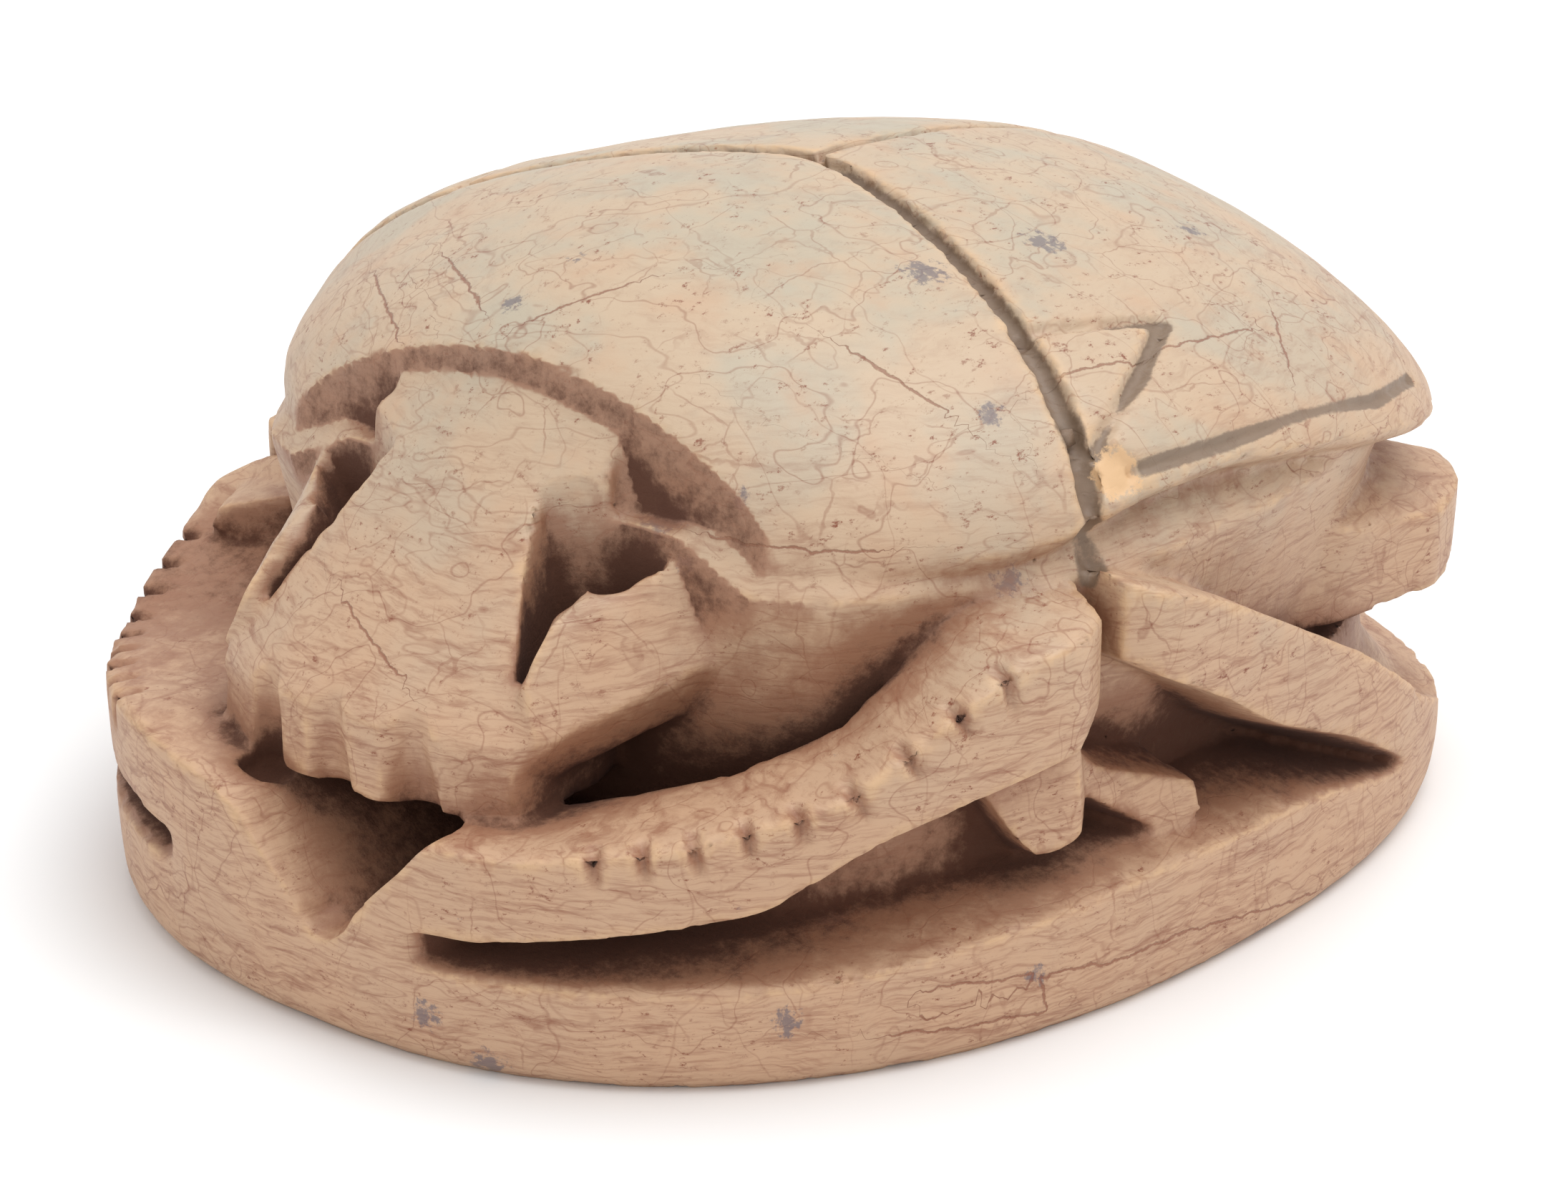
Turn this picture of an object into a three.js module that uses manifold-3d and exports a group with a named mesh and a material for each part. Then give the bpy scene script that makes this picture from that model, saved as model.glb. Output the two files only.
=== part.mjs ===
// Scarab amulet carved in one piece of stone. Millimetres, head towards -Y, underside at z = 0.
import * as THREE from 'three';
import { mergeVertices } from 'three/addons/utils/BufferGeometryUtils.js';
import Module from 'manifold-3d';

const wasm = await Module();
wasm.setup();

// ---- Driving sizes of the plan oval and its wall
const HALF_LENGTH = 25.6;
const HALF_WIDTH = 21.2;
const OVAL_POWER = 2.33; // fuller than an ellipse
const TAIL_SPREAD = 0.03; // share by which the tail half is wider
const WALL_FLARE = 0.0015; // share by which the wall leans out for each mm of height
const FLARE_LEVEL = 6;

// ---- Levels
const HOLLOW_FLOOR = 6.2; // floor inside the ring of legs
const CORE_TOP = 16.5;

// ---- Back: two wing cases and the pronotum, one dome
const DOME_CENTRE_Y = -0.8;
const DOME_FRONT = 16.4; // reach from the centre to the head
const DOME_REAR = 24.1; // reach from the centre to the tail
const DOME_HALF_WIDTH = 19.1;
const DOME_WIDENING = 0.1; // per mm towards the tail
const DOME_BASE = 16.3;
const DOME_RISE = 7.8;
const DOME_UNDER = 2.6; // depth of the rolled-in underside
const PRONOTUM_LEAN = 0.6; // the pronotum sits this far off the middle in front
const PRONOTUM_FACE_Y = -14.4; // the flat the head comes out of

// ---- Carved lines
const LINE_WIDTH = 0.75;
const LINE_DEPTH = 0.5;
const PRONOTUM_LINE_Y = 1.4;
const PRONOTUM_LINE_SWEEP = 7.4;

const STONE = new THREE.MeshStandardMaterial({ color: 0xcbb597, roughness: 0.5, metalness: 0 });

const radians = THREE.MathUtils.degToRad;

// A value graded through a few stations, each [place, value].
function graded(stations) {
  const places = stations.map(([place]) => place);
  const values = stations.map(([, value]) => value);
  const curve = new THREE.LinearInterpolant(places, values, 1);
  return (place) => curve.evaluate(place)[0];
}

// ---- Heights round the wall, by degrees of turn from the head (0) over the flank (90) to the tail (180)
const rimLip = graded([[0, 3.7], [48, 3.7], [64, 4.3], [80, 4.8], [98, 4.5], [111, 3.2], [120, 2.2], [180, 2.2]]);
const ridgeOnLeft = graded([[0, 8], [23, 8], [39, 9], [50, 10.1], [60, 12.9], [64, 13.8], [73, 14.3]]);
const ridgeOnRight = graded([[0, 7.6], [25, 8.2], [40, 7.8], [50, 7.5], [62, 8.6], [67, 9.5], [73, 10.6]]);
const lowOnLeft = graded([[0, 4.6], [21, 5.0], [44, 6.4], [53, 8.6], [62, 9.6], [73, 10.5]]);
const lowOnRight = graded([[0, 4.6], [21, 5.0], [44, 5.2], [62, 5.8], [73, 7.2]]);
const shinOnLeft = graded([[74, 15.4], [83, 14.0], [91, 12.1], [103, 9.2], [113, 6.4], [118, 5.0], [130, 2.8]]);
const shinOnRight = graded([[74, 11.6], [83, 11.2], [91, 10.4], [103, 8.6], [113, 6.2], [118, 5.0], [130, 2.8]]);
const shinDepth = graded([[74, 2.8], [83, 3.5], [91, 3.9], [103, 3.3], [118, 2.8], [130, 1.4]]);
const coreReach = graded([[0, 0.62], [38, 0.7], [48, 0.75], [62, 0.77], [72, 0.82], [82, 0.86], [180, 0.86]]);

// A point of the plan oval grown or shrunk by scale, at a height.
function onOval(turn, scale, height) {
  const across = Math.sin(turn);
  const along = -Math.cos(turn);
  const sum = Math.abs(across) ** OVAL_POWER + Math.abs(along) ** OVAL_POWER;
  const reach = scale * sum ** (-1 / OVAL_POWER) * (1 + WALL_FLARE * (height - FLARE_LEVEL));
  const y = HALF_LENGTH * reach * along;
  const x = HALF_WIDTH * reach * across * (1 + (TAIL_SPREAD * y) / HALF_LENGTH);
  return new THREE.Vector3(x, y, height);
}

// Move every vertex of a closed three.js geometry and make it a solid.
function shaped(geometry, move) {
  const place = geometry.attributes.position;
  const point = new THREE.Vector3();
  for (let i = 0; i < place.count; i += 1) {
    point.fromBufferAttribute(place, i);
    const moved = move ? move(point) : point;
    place.setXYZ(i, moved.x, moved.y, moved.z);
  }
  return solidOf(geometry);
}

function solidOf(geometry) {
  geometry.deleteAttribute('normal');
  geometry.deleteAttribute('uv');
  const merged = mergeVertices(geometry, 1e-4);
  const triangles = [];
  const index = merged.index.array;
  for (let i = 0; i < index.length; i += 3) {
    const [a, b, c] = [index[i], index[i + 1], index[i + 2]];
    if (a !== b && b !== c && c !== a) triangles.push(a, b, c);
  }
  const mesh = new wasm.Mesh({
    numProp: 3,
    vertProperties: new Float32Array(merged.attributes.position.array),
    triVerts: new Uint32Array(triangles),
  });
  const solid = new wasm.Manifold(mesh);
  return solid.volume() > 0 ? solid : turnedOut(mesh);
}

// The same solid with its faces turned outward.
function turnedOut(mesh) {
  for (let i = 0; i < mesh.triVerts.length; i += 3) {
    [mesh.triVerts[i], mesh.triVerts[i + 1]] = [mesh.triVerts[i + 1], mesh.triVerts[i]];
  }
  return new wasm.Manifold(mesh);
}

// A disc-like solid of the plan oval: profile points are [scale, height].
function ovalSolid(profile, segments, move) {
  const points = profile.map(([scale, height]) => new THREE.Vector2(scale, height));
  const lathe = new THREE.LatheGeometry(points, segments);
  return shaped(lathe, (p) => {
    const turn = Math.atan2(p.x, p.z);
    return move(turn, Math.hypot(p.x, p.z), p.y);
  });
}

// A bar swept through sections: sectionAt(t) gives its corners in order for t from 0 to 1.
function swept(sectionAt, steps) {
  const sides = sectionAt(0).length;
  const shell = new THREE.CylinderGeometry(1, 1, 1, sides, steps);
  return shaped(shell, (p) => {
    const corners = sectionAt(0.5 - p.y);
    if (Math.hypot(p.x, p.z) < 0.5) {
      const middle = new THREE.Vector3();
      corners.forEach((corner) => middle.add(corner));
      return middle.divideScalar(sides);
    }
    const slot = Math.round((Math.atan2(p.x, p.z) / (2 * Math.PI)) * sides);
    return corners[(slot + sides) % sides];
  });
}

// A band along the oval wall of one flank, its section given as [scale, height] corners for a turn.
function band(side, from, to, steps, cornersAt) {
  return swept((t) => {
    const degrees = THREE.MathUtils.lerp(from, to, t);
    return cornersAt(degrees).map(([scale, height]) => {
      const point = onOval(radians(degrees), scale, height);
      point.x *= side;
      return point;
    });
  }, steps);
}

// A block whose six sides follow place(u, v, w), each running from 0 to 1.
function block(place, counts) {
  const box = new THREE.BoxGeometry(1, 1, 1, ...counts);
  return shaped(box, (p) => place(p.x + 0.5, p.y + 0.5, p.z + 0.5));
}

// ---- Dome of the back
const domeEdge = graded([[-17, 15.9], [-8, 16.1], [-4, 17.3], [0, 17.4], [5, 16.7], [14.5, 14.6], [24, 13.2]]);
const crossPower = graded([[-4, 1.66], [4, 1.53]]);
const pronotumShift = graded([[-14, PRONOTUM_LEAN], [0, 0]]);

function domeSizes(y) {
  const front = y < DOME_CENTRE_Y;
  const share = Math.min(Math.abs(y - DOME_CENTRE_Y) / (front ? DOME_FRONT : DOME_REAR), 1);
  const planPower = front ? 2.25 : 2.6;
  const [risePower, crestPower] = front ? [2.17, 2.0] : [2.21, 1.5];
  const edge = domeEdge(y);
  const crest = DOME_BASE + DOME_RISE * (1 - share ** risePower) ** (1 / crestPower);
  return {
    half: (DOME_HALF_WIDTH + DOME_WIDENING * y) * (1 - share ** planPower) ** (1 / planPower),
    rise: Math.max(crest - edge, 0.05),
    edge,
    power: crossPower(y),
    shift: pronotumShift(y),
  };
}

function domeTop(x, y) {
  const { half, rise, edge, power, shift } = domeSizes(y);
  const share = Math.min(Math.abs(x - shift) / half, 1);
  return edge + rise * (1 - share ** power) ** (1 / power);
}

function dome() {
  return shaped(new THREE.SphereGeometry(1, 42, 27), (p) => {
    const y = DOME_CENTRE_Y + (p.y < 0 ? DOME_FRONT : DOME_REAR) * p.y;
    const { half, rise, edge, power, shift } = domeSizes(y);
    const ring = Math.hypot(p.x, p.z);
    if (ring < 1e-6) return new THREE.Vector3(shift, y, edge);
    const across = p.x / ring;
    const up = p.z / ring;
    const x = shift + half * Math.sign(across) * Math.abs(across) ** (2 / power);
    const under = DOME_UNDER * Math.min(1, half / 8) * up;
    return new THREE.Vector3(x, y, edge + (up > 0 ? rise * up ** (2 / power) : under));
  });
}

// ---- Plinth, its top rising gently inward from the rim lip
function plinth() {
  const profile = [[0, 0], [0.975, 0], [0.99, 0.4], [0.998, 1.1], [1, 4], [0.82, 5.2], [0, HOLLOW_FLOOR]];
  return ovalSolid(profile, 76, (turn, scale, height) => {
    const lip = rimLip(Math.abs(THREE.MathUtils.radToDeg(turn)));
    const lifted = height > 2 && scale > 0.81 ? height + (lip - 4) : height;
    return onOval(turn, scale, lifted);
  });
}

// ---- Body between the legs, cut back in front where the head hangs free
function core() {
  const profile = [[0, 3], [0.95, 3], [0.93, 7], [0.98, 10], [1, 12.5], [1.03, 15], [0.95, CORE_TOP], [0, CORE_TOP]];
  const body = ovalSolid(profile, 52, (turn, scale, height) => {
    const reach = coreReach(Math.abs(THREE.MathUtils.radToDeg(turn)));
    const point = onOval(turn, scale * reach, height);
    point.x += pronotumShift(point.y);
    return point;
  });
  const clearance = new THREE.BoxGeometry(60, 20, 40);
  clearance.translate(0, PRONOTUM_FACE_Y - 0.9 - 10, HOLLOW_FLOOR + 20);
  return body.subtract(solidOf(clearance));
}

// ---- Legs, one of each on either flank
function foreleg(side) {
  const ridgeAt = side > 0 ? ridgeOnLeft : ridgeOnRight;
  const lowAt = side > 0 ? lowOnLeft : lowOnRight;
  return band(side, -3, 72.5, 25, (turn) => {
    const ridge = ridgeAt(turn);
    const low = lowAt(turn);
    const rise = THREE.MathUtils.mapLinear(turn, 0, 72, -0.5, 0.9); // inner edge over the ridge
    const end = THREE.MathUtils.clamp((turn - 69) / 3.5, 0, 1);
    const outer = 1 - 0.05 * end ** 2;
    return [
      [outer, low + 0.6 * end],
      [outer, ridge - 0.1],
      [outer - 0.015, ridge + 0.1],
      [0.8, ridge + rise],
      [0.78, ridge - 1.5],
      [0.66, ridge - 1.8],
      [0.66, 3.2],
      [0.84, 3.6],
      [0.84, low - 0.7],
    ];
  });
}

function shin(side) {
  return band(side, 74.2, 130, 22, (turn) => {
    const start = THREE.MathUtils.clamp((turn - 74) / 5, 0, 1);
    const outer = THREE.MathUtils.lerp(0.955, 1, Math.sin((start * Math.PI) / 2));
    const top = side > 0 ? shinOnLeft(turn) : shinOnRight(turn);
    const low = top - shinDepth(turn);
    return [
      [outer, low],
      [outer, top - 0.15],
      [outer - 0.015, top],
      [0.86, top - 0.1],
      [0.8, low - 0.4],
    ];
  });
}

// What is left of the middle leg: two facets below the elbow that come to a point downwards.
function midleg(side) {
  const low = graded([[61, 9.6], [66.5, 6.2], [70, 6.2], [73, 7.4], [82, 5], [85, 5.6]]);
  const high = graded([[61, 10.2], [71, 10.2], [74, 8.2], [85, 6.6]]);
  const reach = graded([[61, 0.93], [71, 0.96], [73, 0.91], [85, 0.95]]);
  return band(side, 61, 85, 12, (turn) => [
    [reach(turn), low(turn)],
    [reach(turn) - 0.02, high(turn)],
    [0.78, high(turn) + 0.6],
    [0.78, low(turn) - 1],
  ]);
}

// Low wall round the tail that flares out into the plinth.
function tailFlare(side) {
  const lip = graded([[110, 2.2], [130, 2.7], [145, 2.2], [180, 2.2]]);
  return band(side, 110, 183, 16, (turn) => {
    const level = lip(turn);
    return [[1, 1.2], [1, level], [0.93, level + 0.7], [0.875, level + 2.4], [0.86, 7.4], [0.6, 7.6], [0.6, 1.2]];
  });
}

// Thigh of the hind leg, coming out from under the wing case.
function thigh(side) {
  return block((u, v, w) => {
    const turn = THREE.MathUtils.lerp(THREE.MathUtils.lerp(96, 123, v), 139, u);
    const scale = THREE.MathUtils.lerp(0.7, 1, v) - 0.02 * (2 * u - 1) ** 2 * v;
    const top = THREE.MathUtils.lerp(13.2, 11.2, v);
    const point = onOval(radians(turn), scale, THREE.MathUtils.lerp(8.3, top, w));
    point.x *= side;
    return point;
  }, [4, 3, 1]);
}

// ---- Head
function frons() {
  return block((u, v, w) => {
    const y = THREE.MathUtils.lerp(-12.5, -23.6, v);
    const half = graded([[-23.6, 6.7], [-21.7, 6.7], [-20.2, 6.4], [-17, 6], [-15.4, 5], [-12.5, 4.6]])(y);
    const x = half * (2 * u - 1);
    const bulge = ((2 * u - 1) ** 2) * 1.9 * v;
    const top = Math.min(y + 34.4, 20.2) - Math.abs(2 * u - 1) ** 2 * 0.5;
    const low = THREE.MathUtils.lerp(7.4, 8.0, v);
    return new THREE.Vector3(x, y + bulge, THREE.MathUtils.lerp(low, top, w));
  }, [10, 8, 1]);
}

function cheek(side) {
  return block((u, v, w) => {
    const outer = new THREE.Vector3(10.2, -14.2, 12.8).lerp(new THREE.Vector3(7.2, -21.3, 10.6), v);
    const inner = v < 0.5
      ? new THREE.Vector3(8.15, -15.3, 15.5).lerp(new THREE.Vector3(6.3, -18.6, 15.1), v * 2)
      : new THREE.Vector3(6.3, -18.6, 15.1).lerp(new THREE.Vector3(6.4, -20.9, 12.6), v * 2 - 1);
    const top = inner.clone().lerp(outer, u);
    const under = new THREE.Vector3(THREE.MathUtils.lerp(3, top.x - 0.9, u), top.y + 0.3, 0);
    under.z = THREE.MathUtils.lerp(7.6, top.z - 1.9, u);
    const point = under.lerp(top, w);
    point.x *= side;
    return point;
  }, [1, 4, 1]);
}

// Wedge cut between the forehead and a cheek, wide at the back.
function cheekCut(side) {
  return block((u, v, w) => {
    const y = THREE.MathUtils.lerp(-15.6, -22.3, v);
    const inner = graded([[-22.3, 6.7], [-20.2, 5.2], [-18.3, 3.45], [-16.4, 2.3], [-15.6, 4.2]])(y);
    const outer = graded([[-22.3, 6.95], [-20.7, 6.3], [-18.6, 6.25], [-15.6, 8.0]])(y);
    const floorLevel = graded([[-22.3, 10.2], [-20.2, 10.8], [-15.6, 12.4]])(y);
    const middle = (inner + outer) / 2;
    const spread = THREE.MathUtils.lerp(0.35, 1, w);
    const x = middle + (u - 0.5) * (outer - inner) * spread;
    return new THREE.Vector3(side * x, y, THREE.MathUtils.lerp(floorLevel, 24, w));
  }, [1, 7, 1]);
}

function eye(side) {
  const cone = new THREE.ConeGeometry(1.5, 3.4, 4);
  cone.rotateX(Math.PI / 2);
  cone.translate(side * 4.7, -14.6, 17.6);
  return solidOf(cone);
}

function clypeusNotch(x) {
  const wedge = new THREE.CylinderGeometry(0.85, 0.85, 6, 8);
  wedge.rotateX(Math.PI / 2);
  wedge.translate(x, -23.9 + 0.045 * x * x, 9.5);
  return solidOf(wedge);
}

// ---- Cuts
// V-shaped gap between the feet in front.
function frontNotch() {
  const outline = new THREE.Shape([
    new THREE.Vector2(1.4, 3.3),
    new THREE.Vector2(6.4, 8.4),
    new THREE.Vector2(6.4, 14),
    new THREE.Vector2(-7.5, 14),
    new THREE.Vector2(-7.5, 8.9),
    new THREE.Vector2(-2.6, 7.1),
  ]);
  const cutter = new THREE.ExtrudeGeometry(outline, { depth: 11, bevelEnabled: false });
  return shaped(cutter, (p) => new THREE.Vector3(p.x, p.z - 27.5, p.y + 0.12 * p.z));
}

// V cutter following a line on the dome; pathAt(t) gives plan [x, y].
function domeLine(pathAt, steps, width, depth) {
  const onDome = (t, lift) => {
    const [x, y] = pathAt(t);
    return new THREE.Vector3(x, y, domeTop(x, y) + lift);
  };
  return swept((t) => {
    const here = onDome(t, 0);
    const ahead = onDome(Math.min(t + 0.01, 1), 0).sub(onDome(Math.max(t - 0.01, 0), 0)).normalize();
    const [x, y] = [here.x, here.y];
    const slopeX = (domeTop(x + 0.05, y) - domeTop(x - 0.05, y)) / 0.1;
    const slopeY = (domeTop(x, y + 0.05) - domeTop(x, y - 0.05)) / 0.1;
    const out = new THREE.Vector3(-slopeX, -slopeY, 1).normalize();
    const aside = new THREE.Vector3().crossVectors(ahead, out).normalize();
    const rim = here.clone().addScaledVector(out, 0.3);
    return [
      here.clone().addScaledVector(out, -depth),
      rim.clone().addScaledVector(aside, width * 0.8),
      rim.clone().addScaledVector(aside, -width * 0.8),
    ];
  }, steps);
}

function pronotumLine(side) {
  return domeLine((t) => {
    const x = 18.1 * t ** 0.8;
    return [side * x, PRONOTUM_LINE_Y - PRONOTUM_LINE_SWEEP * (x / 18.1) ** 1.3];
  }, 16, LINE_WIDTH, LINE_DEPTH);
}

function suture() {
  return domeLine((t) => [0, THREE.MathUtils.lerp(PRONOTUM_LINE_Y, 22, t)], 14, LINE_WIDTH * 0.8, LINE_DEPTH);
}

// Fine line that sets off the rolled edge of a wing case.
function wingEdgeLine(side) {
  return domeLine((t) => {
    const y = THREE.MathUtils.lerp(-4.2, 17, t);
    const { half, shift } = domeSizes(y);
    return [side * half * 0.972 + shift, y];
  }, 10, LINE_WIDTH * 0.6, LINE_DEPTH * 0.6);
}

function shoulderMark(side) {
  const corners = [new THREE.Vector2(12.9, -3.6), new THREE.Vector2(14.5, 2.6), new THREE.Vector2(17.2, -5.0)];
  const upper = domeLine((t) => {
    const p = corners[0].clone().lerp(corners[1], t);
    return [side * p.x, p.y];
  }, 4, LINE_WIDTH * 0.7, LINE_DEPTH * 0.7);
  const lower = domeLine((t) => {
    const p = corners[1].clone().lerp(corners[2], t);
    return [side * (p.x + 0.5 * Math.sin(Math.PI * t)), p.y];
  }, 5, LINE_WIDTH * 0.7, LINE_DEPTH * 0.7);
  return upper.add(lower);
}

function joined(parts) {
  return parts.reduce((whole, part) => whole.add(part));
}

function cut(whole, cutters) {
  return cutters.reduce((rest, cutter) => rest.subtract(cutter), whole);
}

function scarab() {
  const sides = [1, -1];
  const pair = (make) => sides.map(make);
  let lower = joined([plinth(), core(), ...pair(foreleg), ...pair(shin), ...pair(midleg), ...pair(tailFlare)]);
  lower = lower.add(joined(pair(thigh)));
  lower = lower.subtract(frontNotch());

  const faceCut = new THREE.BoxGeometry(22, 10, 14);
  faceCut.translate(0, PRONOTUM_FACE_Y - 5, 17);
  let back = dome().subtract(solidOf(faceCut));
  back = cut(back, [suture(), ...pair(pronotumLine), ...pair(wingEdgeLine), ...pair(shoulderMark)]);

  let head = joined([frons(), ...pair(cheek)]);
  head = cut(head, pair(cheekCut));
  head = cut(head, [0, 3.4, -3.4].map(clypeusNotch));
  head = head.add(joined(pair(eye)));

  return joined([lower, back, head]);
}

function meshOf(solid, name, material) {
  const { vertProperties, triVerts } = solid.getMesh();
  const geometry = new THREE.BufferGeometry();
  geometry.setAttribute('position', new THREE.BufferAttribute(vertProperties, 3));
  geometry.setIndex(new THREE.BufferAttribute(triVerts, 1));
  geometry.computeVertexNormals();
  const mesh = new THREE.Mesh(geometry, material);
  mesh.name = name;
  return mesh;
}

const amulet = new THREE.Group();
const body = meshOf(scarab(), 'scarab', STONE);
const middle = new THREE.Box3().setFromObject(body).getCenter(new THREE.Vector3());
body.position.set(-middle.x, -middle.y, 0);
amulet.add(body);

export default amulet;
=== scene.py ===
"""Scarab amulet carved from one pale stone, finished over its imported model."""
import itertools
import math

import bpy
import numpy as np
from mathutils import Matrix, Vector
from mathutils.bvhtree import BVHTree


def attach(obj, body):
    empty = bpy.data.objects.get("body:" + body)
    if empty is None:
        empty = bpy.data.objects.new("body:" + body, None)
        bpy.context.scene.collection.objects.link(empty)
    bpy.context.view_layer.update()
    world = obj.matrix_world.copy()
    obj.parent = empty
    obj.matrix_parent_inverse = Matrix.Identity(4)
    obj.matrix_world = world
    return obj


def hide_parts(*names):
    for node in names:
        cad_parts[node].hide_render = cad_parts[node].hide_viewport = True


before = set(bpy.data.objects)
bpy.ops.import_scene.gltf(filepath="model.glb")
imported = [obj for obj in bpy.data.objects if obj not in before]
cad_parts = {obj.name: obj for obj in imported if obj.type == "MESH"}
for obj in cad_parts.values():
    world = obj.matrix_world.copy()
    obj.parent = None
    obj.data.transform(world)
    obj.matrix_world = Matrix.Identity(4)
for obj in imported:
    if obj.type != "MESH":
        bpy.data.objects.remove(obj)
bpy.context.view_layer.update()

MM = 0.001

bl_info = {
    "name": "Scarab Amulet",
    "version": (1, 0, 0),
    "blender": (4, 5, 0),
    "location": "View3D > Sidebar > Amulet",
    "description": "Carves, weathers and lights a stone scarab amulet",
    "category": "Object",
}

MOST_TRIANGLES = 190000
LATTICE = 48
SKY_RAYS = 40
SKY_REACH = 7.0 * MM

# Plan oval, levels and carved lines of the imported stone, in mm.
HALF_LENGTH = 25.6
HALF_WIDTH = 21.2
OVAL_POWER = 2.33
TAIL_SPREAD = 0.03
WALL_FLARE = 0.0015
FLARE_LEVEL = 6.0
SCOOP_PLACES = (-3.4, 0.0, 3.4)
CHEEK_CORNER = (6.8, -17.8, 15.0)
CHEEK_SOFTENING = 2.0
NICK_HALF_WIDTH = 0.32
NICK_REACH = 1.3
NICK_DEPTH = 0.38
CRACK_STEPS = 10
GAP_PLACE = 1.4
GAP_LEVEL = 3.3
GAP_NEAR_SLOPE = 1.02
GAP_FAR_SLOPE = 0.95
LINE_STEPS = 24
PRONOTUM_LINE_Y = 1.4
PRONOTUM_LINE_REACH = 18.1
PRONOTUM_LINE_SWEEP = 7.4
RIDGE_LEFT = ((0, 8), (23, 8), (39, 9), (50, 10.1), (60, 12.9), (73, 14.3))
RIDGE_RIGHT = ((0, 7.6), (25, 8.2), (40, 7.8), (50, 7.5), (62, 8.6), (73, 10.6))

WING_EDGE_LINE = ((18.3, -4.0, 18.0), (18.8, -0.2, 17.9), (18.6, 5.0, 17.4), (18.4, 10.0, 16.6), (16.9, 14.5, 15.8))
CHIP = (18.0, -4.6, 18.0)
CHIP_REACH = 1.1

# Cracks as paths near the surface, and blue-grey spots as (place, reach), in mm.
CRACKS = (
    ((9.0, -14.5, 16.5), (12.5, -13.5, 16.5), (14.0, -12.0, 16.5)),
    ((15.0, -4.0, 20.5), (15.5, 0.0, 20.0), (15.5, 1.5, 20.0), (15.5, 6.5, 19.5)),
    ((15.0, 8.5, 19.5), (17.5, 6.0, 18.5)),
    ((18.0, -14.0, 3.0), (19.5, -10.5, 2.5), (20.5, -7.5, 2.0), (21.0, -4.0, 2.0), (20.5, 5.0, 0.5)),
    ((17.5, -15.5, 1.5), (19.5, -10.0, 1.0), (19.5, -10.5, 2.5)),
    ((-10.5, -10.0, 20.0), (-8.0, -12.0, 20.0), (-5.5, -14.0, 20.0)),
    ((-7.0, -10.0, 21.5), (-2.5, -13.0, 21.5)),
    ((0.0, -13.0, 21.5), (2.0, -10.5, 22.5)),
    ((10.0, -8.5, 21.5), (13.5, -8.0, 20.0)),
    ((-1.5, -21.0, 13.5), (0.5, -21.5, 12.5), (2.0, -22.0, 12.0)),
)
SPOTS = (
    ((9.0, -3.5, 22.5), 1.2),
    ((-1.5, -12.5, 21.5), 0.7),
    ((-1.0, -10.0, 22.5), 0.6),
    ((10.0, -14.5, 18.0), 0.6),
    ((8.5, -15.0, 15.5), 0.6),
    ((7.0, -14.5, 16.5), 1.3),
    ((9.5, 2.5, 22.5), 1.2),
    ((10.0, 10.5, 21.0), 0.8),
    ((14.5, -7.0, 20.0), 0.7),
    ((16.5, -8.5, 15.0), 0.8),
    ((5.5, -25.0, 2.0), 0.8),
    ((7.5, -24.0, 0.5), 0.9),
    ((15.5, -18.5, 2.5), 0.8),
    ((14.5, -15.0, 4.5), 0.7),
    ((19.5, -10.5, 2.5), 0.6),
)

# Azimuth, elevation and distance of the camera, and the point that it looks at, in mm.
CAMERA_AZIMUTH = 39.99
CAMERA_ELEVATION = 21.936
CAMERA_DISTANCE = 174.75
CAMERA_TARGET = (-0.025, 0.065, 0.0)
CAMERA_SIDESTEP = -0.13
CAMERA_RISE = 6.835
CAMERA_LENS = 108.17


# ---------------------------------------------------------------- settings


class CarvingSettings(bpy.types.PropertyGroup):
    """Sizes of the stone's surface work."""

    grain: bpy.props.FloatProperty(
        name="Grain",
        description="Size of the finest facet that the surface is remade with",
        default=0.21 * MM,
        subtype="DISTANCE",
        unit="LENGTH",
    )
    waviness: bpy.props.FloatProperty(
        name="Waviness",
        description="Height of the slow unevenness that hand rubbing leaves",
        default=0.05 * MM,
        subtype="DISTANCE",
        unit="LENGTH",
    )
    roughness: bpy.props.FloatProperty(
        name="Tool roughness",
        description="Height of the tool marks left in the hollows",
        default=0.06 * MM,
        subtype="DISTANCE",
        unit="LENGTH",
    )
    wear: bpy.props.FloatProperty(
        name="Edge wear",
        description="Most that an outer edge is nibbled back",
        default=0.12 * MM,
        subtype="DISTANCE",
        unit="LENGTH",
    )


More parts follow.
